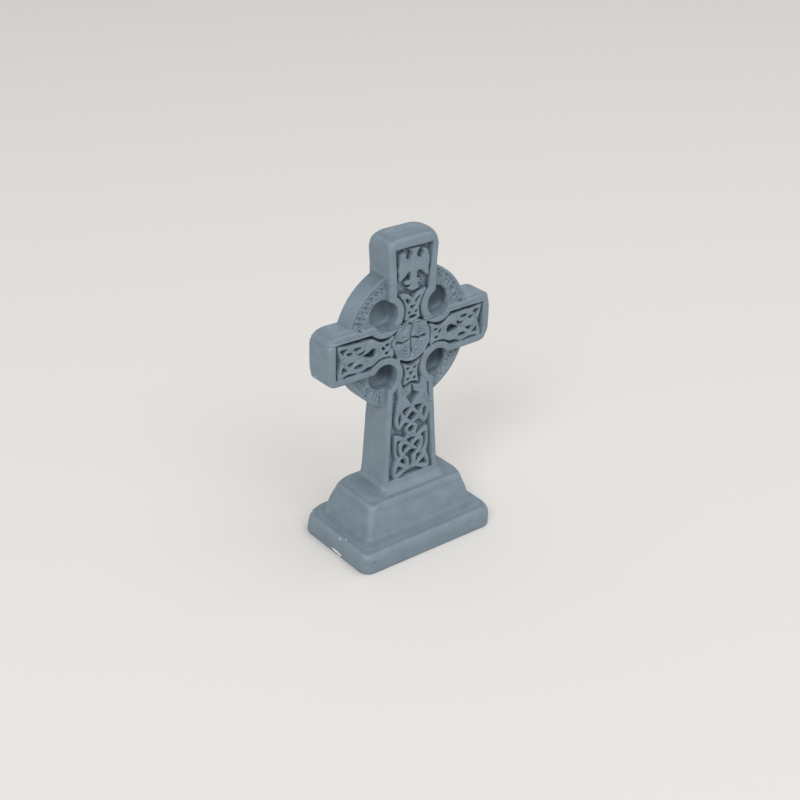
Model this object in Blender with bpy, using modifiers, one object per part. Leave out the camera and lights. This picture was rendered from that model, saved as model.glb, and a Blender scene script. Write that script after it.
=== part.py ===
"""Celtic cross gravestone: a small grey resin casting of a churchyard cross.

One solid in one piece: a two-step plinth, a tapering shaft, a ringed cross head
with four blind pockets, and carved panels on the front. Units are metres, +Z is
up, the front faces -Y, and the origin is under the middle of the plinth.
"""
import math

import bmesh
import bpy

# Plinth: a slab on the ground and a battered tier on it
SLAB_WIDTH = 0.0304
SLAB_DEPTH = 0.0208
SLAB_HEIGHT = 0.0044
SLAB_CORNER = 0.0021
SLAB_EDGE = 0.0013
SLAB_FOOT_EDGE = 0.0002
SLAB_FALL = 0.0009
TIER_HEIGHT = 0.0063
TIER_FOOT_INSET = 0.0030
TIER_BATTER = 0.0011
TIER_CORNER = 0.0012
TIER_EDGE = 0.0014
TIER_CROWN = 0.0010

# Upright: half sizes at the shaft's foot, its narrowest place and the head's end
SHAFT_FOOT_WIDTH = 0.0125
SHAFT_FOOT_DEPTH = 0.0073
SHAFT_NECK_WIDTH = 0.0104
HEAD_WIDTH = 0.0109
HEAD_DEPTH = 0.0063
SHAFT_LENGTH = 0.0279
HEAD_RISE = 0.0196
CROWN_RISE = 0.0009
UPRIGHT_EDGE = 0.0005
HEAD_EDGE = 0.0017
# The crown's two upper steps: rise, width and depth as shares
CROWN_STEPS = ((0.7, 0.52, 0.38), (1.0, 0.26, 0.16))
# Where the shaft reaches its narrowest, as a share of the ring's radius
NECK_SHARE = 0.72

# Arms, on the upright's front plane
ARM_SPAN = 0.0361
ARM_HEIGHT = 0.0097
ARM_DEPTH = 0.0062
ARM_EDGE = 0.0008

# Ring, its web and the four pockets between the limbs
RING_OUTER = 0.0138
RING_WIDTH = 0.0036
RING_DEPTH = 0.0039
# The ring sits a little above the middle of the arms
RING_LIFT = 0.00025
RING_RIM = 0.0009
RING_SINK = 0.0003
WEB_DEPTH = 0.0012
POCKET_OFFSET = 0.0059
POCKET_RADIUS = 0.0025
# 2 makes round bowls; more gives steeper walls and a flatter bottom
POCKET_SQUARENESS = 4

# Carving
CARVE_DEPTH = 0.0005
GROOVE = 0.00024
KNOT_GAP = 0.00038
POCKET_FRAME = 0.0016
HEAD_FRAME = 0.0014
ARM_FRAME = 0.00165
SHAFT_FRAME = 0.00105
HEAD_PANEL_MARGIN = 0.0019
ARM_PANEL_MARGIN = 0.0016
SHAFT_PANEL_MARGIN = 0.0013
BOSS_RADIUS = 0.0040
BOSS_RISE = 0.0002
BOSS_RIM = 0.0008
# How far out the boss covers the inner ends of the panels, as a share of its radius
BOSS_COVER = 0.85

# Fineness of the faceting
RING_STEPS = 64
CORNER_STEPS = 3
BOWL_SEGMENTS = 20
BOWL_RINGS = 12
WAIST_STEPS = 8

PART = "celtic_cross"
MERGE = 0.00001
CUTTER_CLEARANCE = 0.001

TIER_FOOT = SLAB_HEIGHT + SLAB_FALL
TIER_TOP = TIER_FOOT + TIER_HEIGHT
SHAFT_FOOT = TIER_TOP + TIER_CROWN
CENTRE = SHAFT_FOOT + SHAFT_LENGTH
HEAD_TOP = CENTRE + HEAD_RISE
FRONT = HEAD_DEPTH / 2
FOOT_FRONT = SHAFT_FOOT_DEPTH / 2
SHAFT_SLOPE = math.atan((FOOT_FRONT - FRONT) / SHAFT_LENGTH)


def clear_scene():
    for obj in list(bpy.data.objects):
        bpy.data.objects.remove(obj, do_unlink=True)


def collection(name):
    made = bpy.data.collections.new(name)
    bpy.context.scene.collection.children.link(made)
    return made


def resin():
    material = bpy.data.materials.new("grey_resin")
    material.use_nodes = True
    shader = material.node_tree.nodes["Principled BSDF"]
    shader.inputs["Base Color"].default_value = (0.19, 0.24, 0.27, 1)
    shader.inputs["Roughness"].default_value = 0.5
    shader.inputs["Metallic"].default_value = 0.0
    return material


def add_object(name, mesh, group):
    obj = bpy.data.objects.new(name, mesh)
    group.objects.link(obj)
    return obj


def rounded_rectangle(half_a, half_b, radius, steps=CORNER_STEPS):
    """Corner points of a rectangle with rounded corners, anticlockwise."""
    radius = min(radius, half_a * 0.98, half_b * 0.98)
    points = []
    for corner in range(4):
        sign_a = (1, -1, -1, 1)[corner]
        sign_b = (1, 1, -1, -1)[corner]
        for step in range(steps + 1):
            angle = math.radians(90 * corner + 90 * step / steps)
            a = sign_a * (half_a - radius) + radius * math.cos(angle)
            b = sign_b * (half_b - radius) + radius * math.sin(angle)
            points.append((a, b))
    return points


def loft(name, sections, group, along="Z"):
    """A closed body through rounded rectangles, each (height, half_a, half_b, radius)."""
    bm = bmesh.new()
    loops = []
    for height, half_a, half_b, radius in sections:
        ring = []
        for a, b in rounded_rectangle(half_a, half_b, radius):
            place = (a, b, height) if along == "Z" else (height, a, b)
            ring.append(bm.verts.new(place))
        loops.append(ring)
    for lower, upper in zip(loops, loops[1:]):
        for i in range(len(lower)):
            j = (i + 1) % len(lower)
            bm.faces.new((lower[i], lower[j], upper[j], upper[i]))
    bm.faces.new(list(reversed(loops[0])))
    bm.faces.new(loops[-1])
    bmesh.ops.recalc_face_normals(bm, faces=bm.faces)
    mesh = bpy.data.meshes.new(name)
    bm.to_mesh(mesh)
    bm.free()
    return add_object(name, mesh, group)


def eased_edge(height, half_a, half_b, corner, edge, steps=CORNER_STEPS):
    """Sections that round a top edge over into the flat above it."""
    sections = []
    for step in range(steps + 1):
        angle = math.radians(90 * step / steps)
        inset = edge * (1 - math.cos(angle))
        level = height - edge * (1 - math.sin(angle))
        sections.append((level, half_a - inset, half_b - inset, corner))
    return sections


def plinth_sections():
    half_w = SLAB_WIDTH / 2
    half_d = SLAB_DEPTH / 2
    foot_edge = SLAB_FOOT_EDGE
    sections = [(0, half_w - foot_edge, half_d - foot_edge, SLAB_CORNER)]
    sections.append((foot_edge, half_w - foot_edge * 0.3, half_d - foot_edge * 0.3, SLAB_CORNER))
    sections += eased_edge(SLAB_HEIGHT, half_w, half_d, SLAB_CORNER, SLAB_EDGE)
    foot_w = half_w - TIER_FOOT_INSET
    foot_d = half_d - TIER_FOOT_INSET
    sections.append((TIER_FOOT, foot_w, foot_d, TIER_CORNER))
    top_w = foot_w - TIER_BATTER
    top_d = foot_d - TIER_BATTER
    middle = TIER_FOOT + TIER_HEIGHT * 0.4
    sections.append((middle, top_w + TIER_BATTER * 0.45, top_d + TIER_BATTER * 0.45, TIER_CORNER))
    sections += eased_edge(TIER_TOP, top_w, top_d, TIER_CORNER, TIER_EDGE)
    return sections


def upright_sections():
    neck = CENTRE - RING_OUTER * NECK_SHARE
    neck_share = (CENTRE - neck) / SHAFT_LENGTH
    neck_depth = FRONT + (FOOT_FRONT - FRONT) * neck_share
    half_neck = SHAFT_NECK_WIDTH / 2
    half_head = HEAD_WIDTH / 2
    sections = [
        (SHAFT_FOOT, SHAFT_FOOT_WIDTH / 2, FOOT_FRONT, UPRIGHT_EDGE),
        (neck, half_neck, neck_depth, UPRIGHT_EDGE),
        (CENTRE, half_neck, FRONT, UPRIGHT_EDGE),
        (CENTRE + RING_OUTER, half_neck, FRONT, UPRIGHT_EDGE),
        (HEAD_TOP - HEAD_EDGE * 1.6, half_head, FRONT, UPRIGHT_EDGE),
    ]
    sections += eased_edge(HEAD_TOP, half_head, FRONT, HEAD_EDGE, HEAD_EDGE, 4)
    for rise, width, depth in CROWN_STEPS:
        sections.append((HEAD_TOP + CROWN_RISE * rise, half_head * width, FRONT * depth, HEAD_EDGE))
    return sections


def column(group):
    """Plinth and upright as one loft, from the ground to the crown."""
    return loft(PART, plinth_sections() + upright_sections(), group)


def arms(group):
    half_d = ARM_DEPTH / 2
    half_h = ARM_HEIGHT / 2
    end = eased_edge(ARM_SPAN / 2, half_d, half_h, ARM_EDGE, ARM_EDGE)
    start = [(-x, a, b, radius) for x, a, b, radius in reversed(end)]
    made = loft("arms", start + end, group, along="X")
    made.location.z = CENTRE
    return made


def ring_disc(group):
    """Ring and web, turned about the head's centre; the profile runs down its outer side."""
    half = RING_DEPTH / 2
    web = WEB_DEPTH / 2
    inner = RING_OUTER - RING_WIDTH
    step = RING_OUTER - RING_RIM
    ease = RING_SINK
    front = [
        (0, web),
        (inner, web),
        (inner, half - RING_SINK - ease),
        (inner + ease, half - RING_SINK),
        (step, half - RING_SINK),
        (step + ease, half),
        (RING_OUTER - ease, half),
        (RING_OUTER, half - ease),
    ]
    back = [(r, -y) for r, y in reversed(front)]
    bm = bmesh.new()
    verts = [bm.verts.new((r, y, 0)) for r, y in front + back]
    for a, b in zip(verts, verts[1:]):
        bm.edges.new((a, b))
    mesh = bpy.data.meshes.new("ring")
    bm.to_mesh(mesh)
    bm.free()
    obj = add_object("ring", mesh, group)
    screw = obj.modifiers.new("turn", "SCREW")
    screw.axis = "Y"
    screw.steps = RING_STEPS
    screw.render_steps = RING_STEPS
    screw.use_merge_vertices = True
    screw.merge_threshold = MERGE
    obj.location.z = CENTRE + RING_LIFT
    return obj


def pocket_wall(direction):
    """How far out the wall of a pocket lies in a direction, as a share of its radius."""
    x, y, z = direction
    power = POCKET_SQUARENESS
    return (math.hypot(x, y) ** power + abs(z) ** power) ** (-1 / power)


def pockets(group):
    """Eight steep blind holes, front and back, that bite into the corners between the limbs."""
    bm = bmesh.new()
    squash = (FRONT - WEB_DEPTH / 2 + GROOVE) / POCKET_RADIUS
    for side in (-1, 1):
        for across in (-1, 1):
            for up in (-1, 1):
                made = bmesh.ops.create_uvsphere(
                    bm, u_segments=BOWL_SEGMENTS, v_segments=BOWL_RINGS, radius=POCKET_RADIUS)
                for vert in made["verts"]:
                    x, y, z = vert.co * pocket_wall(vert.co.normalized())
                    vert.co = (x + across * POCKET_OFFSET, z * squash + side * FRONT, -y + up * POCKET_OFFSET)
    bmesh.ops.recalc_face_normals(bm, faces=bm.faces)
    mesh = bpy.data.meshes.new("pockets")
    bm.to_mesh(mesh)
    bm.free()
    obj = add_object("pockets", mesh, group)
    obj.location.z = CENTRE
    return obj


def limb_half_width(distance, full):
    """Half width of a sunken panel: full, and waisted round the pockets near the centre."""
    reach = POCKET_RADIUS + POCKET_FRAME
    gap = distance - POCKET_OFFSET
    if abs(gap) >= reach:
        return full
    return min(full, POCKET_OFFSET - math.sqrt(reach * reach - gap * gap))


def arc(cx, cz, radius, start, end, steps):
    """Points on a circle, from one angle in degrees to another."""
    points = []
    for step in range(steps + 1):
        angle = math.radians(start + (end - start) * step / steps)
        points.append((cx + radius * math.cos(angle), cz + radius * math.sin(angle)))
    return points


def lens(cx, cz, length, width, angle=0, steps=4):
    """A pointed oval hole."""
    turn = math.radians(angle)
    points = []
    for step in range(2 * steps):
        t = step / steps
        along = length / 2 * math.cos(math.pi * t)
        across = width / 2 * math.sin(math.pi * t)
        points.append((cx + along * math.cos(turn) - across * math.sin(turn),
                       cz + along * math.sin(turn) + across * math.cos(turn)))
    return points


def wedge(cx, cz, size, angle=90, stretch=1.0):
    """A three-cornered hole with blunt corners, one of them pointing at the angle."""
    turn = math.radians(angle)
    points = []
    for corner in range(3):
        for nudge in (-14, 14):
            a = math.radians(120 * corner + nudge)
            u = size * math.cos(a) * stretch
            v = size * math.sin(a)
            points.append((cx + u * math.cos(turn) - v * math.sin(turn),
                           cz + u * math.sin(turn) + v * math.cos(turn)))
    return points


def mirrored(half):
    """A closed outline from its right half, listed from bottom to top."""
    return half + [(-x, z) for x, z in reversed(half) if abs(x) > MERGE]


def both_sides(*holes):
    """Each hole and its mirror image across the middle."""
    pairs = []
    for hole in holes:
        pairs.append(hole)
        pairs.append([(-x, z) for x, z in hole])
    return pairs


def without_straight_points(loop):
    """The outline without points that lie on a straight run."""
    kept = []
    for i, (x, z) in enumerate(loop):
        before = loop[i - 1]
        after = loop[(i + 1) % len(loop)]
        turn = (x - before[0]) * (after[1] - z) - (z - before[1]) * (after[0] - x)
        if abs(turn) > MERGE * MERGE:
            kept.append((x, z))
    return kept


def cutter(name, loops, group, front=FRONT, tilt=0.0, depth=CARVE_DEPTH, side=1):
    """An extruded flat outline that cuts into the front (side 1) or the back (side -1)."""
    curve = bpy.data.curves.new(name, "CURVE")
    curve.dimensions = "2D"
    curve.fill_mode = "BOTH"
    curve.extrude = (depth + CUTTER_CLEARANCE) / 2
    for loop in map(without_straight_points, loops):
        spline = curve.splines.new("POLY")
        spline.points.add(len(loop) - 1)
        spline.use_cyclic_u = True
        for point, (x, z) in zip(spline.points, loop):
            point.co = (x, z, 0, 1)
    shape = add_object(name + "_outline", curve, group)
    shape.rotation_euler.x = math.radians(90) - tilt
    shape.rotation_euler.z = math.radians(90 - 90 * side)
    shape.location = (0, side * (depth - front - curve.extrude), CENTRE)
    bpy.context.view_layer.update()
    graph = bpy.context.evaluated_depsgraph_get()
    mesh = bpy.data.meshes.new_from_object(shape.evaluated_get(graph))
    bm = bmesh.new()
    bm.from_mesh(mesh)
    bmesh.ops.remove_doubles(bm, verts=bm.verts, dist=MERGE)
    bmesh.ops.recalc_face_normals(bm, faces=bm.faces)
    bm.to_mesh(mesh)
    bm.free()
    obj = add_object(name, mesh, group)
    obj.matrix_world = shape.matrix_world
    bpy.data.objects.remove(shape)
    return obj


def drop(cx, cz, length, width, angle=0, steps=4):
    """A hole with one round end and a long point, which lies at the angle."""
    turn = math.radians(angle)
    bulb = width / 2
    points = []
    for u, v in arc(0, 0, bulb, 70, 290, steps) + [(length - bulb, 0)]:
        points.append((cx + u * math.cos(turn) - v * math.sin(turn),
                       cz + u * math.sin(turn) + v * math.cos(turn)))
    return points


def shaft_half_width(distance):
    """Half width of the shaft at a distance below the head's centre."""
    start = RING_OUTER * NECK_SHARE
    share = max(0.0, (distance - start) / (SHAFT_LENGTH - start))
    return (SHAFT_NECK_WIDTH + (SHAFT_FOOT_WIDTH - SHAFT_NECK_WIDTH) * share) / 2


def waist_stations(start=BOSS_RADIUS * BOSS_COVER):
    """Distances from the centre at which a panel's waisted side is drawn."""
    end = POCKET_OFFSET + POCKET_RADIUS + POCKET_FRAME
    return [start + (end - start) * step / WAIST_STEPS for step in range(WAIST_STEPS + 1)]


def shaft_panel():
    """Right half of the sunken field on the shaft, bottom to top, heights from the centre."""
    foot = SHAFT_LENGTH - SHAFT_PANEL_MARGIN
    half = [(shaft_half_width(foot) - SHAFT_FRAME, -foot)]
    for distance in reversed(waist_stations()):
        full = shaft_half_width(distance) - SHAFT_FRAME
        half.append((limb_half_width(distance, full), -distance))
    return half


def head_panel():
    """Right half of the sunken field on the head, bottom to top."""
    full = HEAD_WIDTH / 2 - HEAD_FRAME
    top = HEAD_RISE - HEAD_PANEL_MARGIN
    half = [(limb_half_width(d, full), d) for d in waist_stations()]
    return half + [(full, top)]


def arm_panel(inset=0.0, end_dip=0.0):
    """Closed outline of the field on the right arm, or with an inset its raised knot."""
    full = ARM_HEIGHT / 2 - ARM_FRAME
    end = ARM_SPAN / 2 - ARM_PANEL_MARGIN - inset * 1.5
    upper = []
    for distance in waist_stations(BOSS_RADIUS * BOSS_COVER + inset):
        upper.append((distance, limb_half_width(distance, full) - inset))
    upper.append((end, full - inset))
    lower = [(x, -z) for x, z in reversed(upper)]
    return upper + [(end - end_dip, 0)] + lower if end_dip else upper + lower


def arm_knot_holes():
    """Holes of the right arm's knot, from the outer horns in to the boss."""
    full = ARM_HEIGHT / 2 - ARM_FRAME
    end = ARM_SPAN / 2 - ARM_PANEL_MARGIN
    holes = []
    for side in (-1, 1):
        holes.append(wedge(end - full * 0.46, side * full * 0.62, full * 0.14, 90 * side))
        holes.append(lens(end - full * 0.95, side * full * 0.34, full * 0.28, full * 0.11))
        holes.append(lens(end - full * 1.45, side * full * 0.55, full * 0.42, full * 0.10))
        holes.append(lens(end - full * 1.73, side * full * 0.23, full * 0.26, full * 0.09, 25 * side))
    holes.append(drop(end - full * 2.58, 0, full * 0.78, full * 0.32))
    holes.append(lens(BOSS_RADIUS + full * 0.60, full * 0.12, full * 0.17, full * 0.12, 30))
    holes.append(lens(BOSS_RADIUS + full * 0.40, -full * 0.24, full * 0.20, full * 0.08))
    return holes


def head_figure():
    """Right half of the displayed bird in the head's field: tail, hip, wing, shoulder, head."""
    k = (HEAD_WIDTH / 2 - HEAD_FRAME - GROOVE) / 3.7
    half = arc(0, 1.25, 1.3, -90, 10, 4)
    half.append((1.00, 1.75))
    half += arc(1.45, 2.05, 0.33, -100, 60, 3)
    half += [(0.85, 2.75), (0.95, 3.65), (1.95, 2.95), (3.10, 2.25), (3.40, 2.70), (3.45, 6.20)]
    half += arc(2.75, 7.00, 0.70, 10, 140, 4)
    half += arc(1.30, 6.90, 0.50, 0, -180, 5)
    half += [(0.55, 7.50), (0.95, 7.98), (0, 8.00)]
    foot = HEAD_RISE - HEAD_PANEL_MARGIN - 8.08 * k
    return [(x * k, foot + z * k) for x, z in half]


def upper_neck_knot():
    """Right half of the horned knot between the bird and the boss."""
    half = []
    full = HEAD_WIDTH / 2 - HEAD_FRAME
    for distance in waist_stations(BOSS_RADIUS * 0.9)[:6]:
        half.append((limb_half_width(distance, full) - GROOVE * 1.4, distance))
    tip = POCKET_OFFSET + POCKET_RADIUS * 1.4
    half += [(full * 0.74, tip), (full * 0.36, tip - GROOVE * 3), (0, tip - GROOVE * 5)]
    return half


def lower_neck_knot():
    """Right half of the small knot under the boss."""
    waist = limb_half_width(POCKET_OFFSET, shaft_half_width(0))
    foot = POCKET_OFFSET + POCKET_RADIUS
    return [(0, -foot + waist * 0.40), (waist * 0.55, -foot + waist * 0.30),
            (waist * 0.86, -foot), (waist * 0.70, -foot + waist * 0.50),
            (waist * 0.68, -POCKET_OFFSET), (waist * 0.90, -BOSS_RADIUS * 0.92)]


def neck_holes(side):
    """Pin holes of the neck knots, above the boss for side 1 and below it for -1."""
    w = limb_half_width(POCKET_OFFSET, HEAD_WIDTH / 2)
    pairs = both_sides(lens(w * 0.40, side * (BOSS_RADIUS + w * 0.55), w * 0.24, w * 0.11, 10),
                       lens(w * 0.52, side * (BOSS_RADIUS + w * 1.72), w * 0.40, w * 0.15, 40 * side))
    middle = [wedge(0, side * (BOSS_RADIUS + w * 1.14), w * 0.18, -90)]
    return pairs + middle


def shaft_knot_frame():
    """Foot and height of the shaft's long knot, as distances from the centre."""
    foot = SHAFT_LENGTH - SHAFT_PANEL_MARGIN
    top = POCKET_OFFSET + POCKET_RADIUS
    return foot, foot - top


def knot_point(s, t):
    """A place on the shaft's knot: s across, t up, both as shares of the field."""
    foot, height = shaft_knot_frame()
    distance = foot - t * height
    half = limb_half_width(distance, shaft_half_width(distance) - SHAFT_FRAME) - KNOT_GAP
    return s * half, -distance


def shaft_knot():
    """Right half of the long knot: bottom loops, waist, ring loop and the two top loops."""
    shares = [(0, 0.052), (0.30, 0.040), (0.55, 0.018), (0.78, 0.008), (0.93, 0.020), (0.98, 0.060),
              (0.92, 0.120), (0.84, 0.180), (0.94, 0.250), (0.98, 0.320), (0.95, 0.400),
              (0.84, 0.470), (0.58, 0.452), (0.34, 0.420), (0.27, 0.455), (0.36, 0.495),
              (0.30, 0.540), (0.44, 0.570), (0.66, 0.552), (0.86, 0.538), (0.96, 0.590),
              (0.99, 0.680), (0.99, 0.860), (0.94, 0.930), (0.82, 0.990), (0.68, 0.950),
              (0.46, 0.985), (0.22, 0.985), (0, 0.955)]
    return [knot_point(s, t) for s, t in shares]


def shaft_knot_holes():
    """Holes of the long knot from its foot up; sizes are shares of the field's half width."""
    unit = shaft_half_width(SHAFT_LENGTH * 0.75) - SHAFT_FRAME
    corner = wedge(*knot_point(0.66, 0.085), unit * 0.17, 60, 1.25)
    loop = wedge(*knot_point(0.38, 0.155), unit * 0.17, 75, 1.25)
    cheek = wedge(*knot_point(0.40, 0.296), unit * 0.18, 180, 1.1)
    flank = lens(*knot_point(0.78, 0.300), unit * 0.90, unit * 0.14, 92)
    eye = wedge(*knot_point(0.38, 0.705), unit * 0.21, -90, 1.1)
    side = lens(*knot_point(0.82, 0.640), unit * 0.50, unit * 0.14, 88)
    holes = both_sides(corner, loop, cheek, flank, eye, side)
    holes.append(drop(*knot_point(0, 0.235), unit * 0.66, unit * 0.30, -90))
    holes.append(wedge(*knot_point(0, 0.370), unit * 0.20, -90))
    holes.append(lens(*knot_point(0, 0.500), unit * 0.26, unit * 0.18))
    holes.append(lens(*knot_point(0, 0.628), unit * 0.40, unit * 0.34, steps=2))
    holes.append(wedge(*knot_point(0, 0.838), unit * 0.26, -90))
    holes.append(lens(*knot_point(0, 0.925), unit * 0.19, unit * 0.10, 90))
    return holes


def ring_holes():
    """Slanting pits between the strands on the four quarters of the ring."""
    holes = []
    middle = RING_OUTER - RING_RIM - (RING_WIDTH - RING_RIM) / 2
    count = 5
    for quarter in range(4):
        first = 29 + 90 * quarter
        for step in range(count):
            angle = first + 32 * step / (count - 1)
            lean = 25 if step % 2 else -25
            radius = middle + RING_WIDTH * (0.09 if step % 2 else -0.06)
            turn = math.radians(angle)
            holes.append(lens(radius * math.cos(turn), radius * math.sin(turn) + RING_LIFT,
                              RING_WIDTH * 0.36, RING_WIDTH * 0.14, angle + 90 + lean))
    return holes


def boss(name, group, side=1):
    """The raised disc at the crossing of the front or the back, with a rim and a shallow dome."""
    rim = BOSS_RADIUS - BOSS_RIM
    front = -FRONT - BOSS_RISE
    profile = [
        (0, front - BOSS_RISE),
        (rim * 0.6, front - BOSS_RISE * 0.6),
        (rim - GROOVE, front),
        (rim, front + BOSS_RISE),
        (rim + GROOVE, front),
        (BOSS_RADIUS, front + BOSS_RISE * 0.2),
        (BOSS_RADIUS, 0),
        (0, 0),
    ]
    bm = bmesh.new()
    verts = [bm.verts.new((r, y, 0)) for r, y in reversed(profile)]
    for a, b in zip(verts, verts[1:]):
        bm.edges.new((a, b))
    mesh = bpy.data.meshes.new(name)
    bm.to_mesh(mesh)
    bm.free()
    obj = add_object(name, mesh, group)
    obj.rotation_euler.z = math.radians(90 - 90 * side)
    screw = obj.modifiers.new("turn", "SCREW")
    screw.axis = "Y"
    screw.steps = RING_STEPS // 2
    screw.render_steps = RING_STEPS // 2
    screw.use_merge_vertices = True
    screw.merge_threshold = MERGE
    obj.location.z = CENTRE
    return obj


def boss_cross():
    """The crossed groove that parts the boss into four petals."""
    reach = BOSS_RADIUS - BOSS_RIM - GROOVE
    slot = GROOVE * 0.6
    points = []
    for quarter in range(4):
        turn = math.radians(90 * quarter)
        for u, v in ((reach, -slot * 0.4), (reach, slot * 0.4), (slot, slot)):
            points.append((u * math.cos(turn) - v * math.sin(turn),
                           u * math.sin(turn) + v * math.cos(turn)))
    return points


def petal_holes():
    """A leaf-shaped pit in each petal of the boss."""
    reach = (BOSS_RADIUS - BOSS_RIM) * 0.55
    holes = []
    for quarter in range(4):
        angle = 45 + 90 * quarter
        turn = math.radians(angle)
        holes.append(lens(reach * math.cos(turn), reach * math.sin(turn),
                          reach * 0.75, reach * 0.34, angle))
    return holes


def combine(base, tool, operation):
    step = base.modifiers.new(tool.name, "BOOLEAN")
    step.operation = operation
    step.solver = "EXACT"
    step.object = tool
    tool.hide_render = True
    tool.display_type = "WIRE"


def main():
    clear_scene()
    part = collection("celtic_cross_gravestone")
    tools = collection("cutters")
    cross = column(part)
    cross.data.materials.append(resin())
    combine(cross, arms(tools), "UNION")
    combine(cross, ring_disc(tools), "UNION")
    combine(cross, pockets(tools), "DIFFERENCE")

    arm = both_sides(arm_panel())
    knot = both_sides(arm_panel(GROOVE, GROOVE * 2.5))
    fields = [mirrored(head_panel()), mirrored(head_figure()), mirrored(upper_neck_knot())]
    holes = neck_holes(1) + both_sides(*arm_knot_holes())
    combine(cross, cutter("head_fields", fields + arm + knot, tools), "DIFFERENCE")
    combine(cross, cutter("head_holes", holes, tools), "DIFFERENCE")

    fields = [mirrored(shaft_panel()), mirrored(shaft_knot()), mirrored(lower_neck_knot())]
    holes = shaft_knot_holes() + neck_holes(-1)
    combine(cross, cutter("shaft_fields", fields, tools, tilt=SHAFT_SLOPE), "DIFFERENCE")
    combine(cross, cutter("shaft_holes", holes, tools, tilt=SHAFT_SLOPE), "DIFFERENCE")

    plain = [mirrored(head_panel())] + arm
    combine(cross, cutter("back_fields", plain, tools, side=-1), "DIFFERENCE")
    plain = [mirrored(shaft_panel())]
    combine(cross, cutter("back_shaft_field", plain, tools, tilt=SHAFT_SLOPE, side=-1), "DIFFERENCE")

    ring_front = RING_DEPTH / 2 - RING_SINK
    combine(cross, cutter("ring_holes", ring_holes(), tools, ring_front), "DIFFERENCE")
    combine(cross, boss("boss", tools), "UNION")
    combine(cross, boss("back_boss", tools, -1), "UNION")
    combine(cross, cutter("boss_cross", [boss_cross()], tools, depth=BOSS_RISE), "DIFFERENCE")
    combine(cross, cutter("petal_holes", petal_holes(), tools, depth=BOSS_RISE / 2), "DIFFERENCE")


main()
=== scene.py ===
"""Looks of the celtic cross gravestone: a small resin print with soft edges and layer lines.

The whole piece is one mesh. A function says how far each point of space is from the
surface, a relief map of the front adds the carving, and a mesh is drawn through the
places where that distance is zero. Lengths in the form are millimetres.
"""
import math

import bpy
import numpy as np
from mathutils import Matrix, Vector


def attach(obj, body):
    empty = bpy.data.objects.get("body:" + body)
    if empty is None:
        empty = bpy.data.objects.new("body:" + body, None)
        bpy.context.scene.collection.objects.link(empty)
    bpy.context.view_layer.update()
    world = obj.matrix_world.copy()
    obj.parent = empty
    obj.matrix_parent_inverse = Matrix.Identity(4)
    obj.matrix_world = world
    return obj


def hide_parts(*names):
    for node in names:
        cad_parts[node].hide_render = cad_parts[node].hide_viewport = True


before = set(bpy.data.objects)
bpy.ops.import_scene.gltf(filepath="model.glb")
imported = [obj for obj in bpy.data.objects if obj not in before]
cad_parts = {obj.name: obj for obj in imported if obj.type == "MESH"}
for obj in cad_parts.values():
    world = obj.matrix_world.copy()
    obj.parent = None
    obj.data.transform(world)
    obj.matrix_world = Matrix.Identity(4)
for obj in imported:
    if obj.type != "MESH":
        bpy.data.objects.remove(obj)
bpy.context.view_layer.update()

MM = 0.001

# Spacing of the grid on the carved front, behind it and out over the plinth
STEP = 0.075
DEPTH_STEP = 0.12
COARSE = 0.25
# How far the grid reaches, how far out its fine part goes, and how far in the carving goes
GRID_X, GRID_Y, GRID_TOP = 18.7, 11.2, 61.8
FINE_Y, CARVED_Y = 4.2, 1.2
# Distances from the surface are kept up to here
FAR = 0.8
TRIANGLES = 195000

# Heights, from the ground
SLAB_TOP = 4.4
TIER_FOOT = 5.15
TIER_BEND = 7.8
TIER_TOP = 11.6
SHAFT_FOOT = 12.6
SHAFT_NARROWEST = 30.5
CENTRE = 40.5
HEAD_FULL = 57.6

# Half sizes
SLAB_X, SLAB_Y = 15.2, 10.4
TIER_X, TIER_Y = 12.2, 7.35
BATTER = 1.1
FOOT_X, FOOT_Y = 6.25, 3.75
NECK_X, NECK_Y = 5.2, 3.34
HEAD_X = 5.45
FRONT = 3.15
UPRIGHT_EDGE = 0.5
ARM_X, ARM_Y, ARM_Z = 18.05, 3.15, 4.85
RING_OUTER, RING_INNER = 13.8, 9.6
RING_Y = 1.95
RING_LIFT = 0.25
RING_RIM = 0.75
RING_SINK = 0.3
WEB_Y = 0.6
POCKET_OFFSET, POCKET_RADIUS, POCKET_DEPTH = 5.9, 2.65, 2.79
POCKET_FRAME = 1.35
# Power that squares off the pockets' bowls, where 2 is round
POCKET_SQUARENESS = 5
BOSS = 4.05

# Plinth edges: how far in and how far down each top edge is eased
SLAB_EASE = (1.6, 2.1)
TIER_EASE = (1.1, 2.0)
TIER_DIP = 0.2
SLAB_CORNER = 2.1
# The slab's rise to the tier: height over its top, half width, half depth, corner radius
SLAB_FILLET = (0.17, 12.95, 8.15, 1.7)
# The fillet round the shaft's foot: height over it, further out across and in depth, corner radius
FOOT_FILLET = ((-1.15, 3.30, 1.38, 3.2), (-0.90, 2.50, 1.10, 2.8), (-0.60, 1.70, 0.78, 2.3),
               (-0.32, 1.05, 0.48, 1.7), (-0.08, 0.60, 0.26, 1.2), (0.25, 0.30, 0.12, 0.8),
               (0.8, 0.10, 0.05, 0.6), (1.4, 0.02, 0.02, UPRIGHT_EDGE))
# The crown: height, further in across and in depth, corner radius
CROWN_ROWS = ((58.6, 0.02, 0.0, 0.9), (59.2, 0.08, 0.05, 1.3), (59.7, 0.28, 0.2, 1.7),
              (60.05, 0.6, 0.45, 1.9), (60.3, 1.0, 0.8, 1.9), (60.45, 1.5, 1.2, 1.7),
              (60.6, 2.2, 1.7, 1.3), (60.75, 3.1, 2.2, 0.9), (60.87, 4.2, 2.75, 0.4),
              (61.1, 7.0, 4.0, 0.1))
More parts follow.
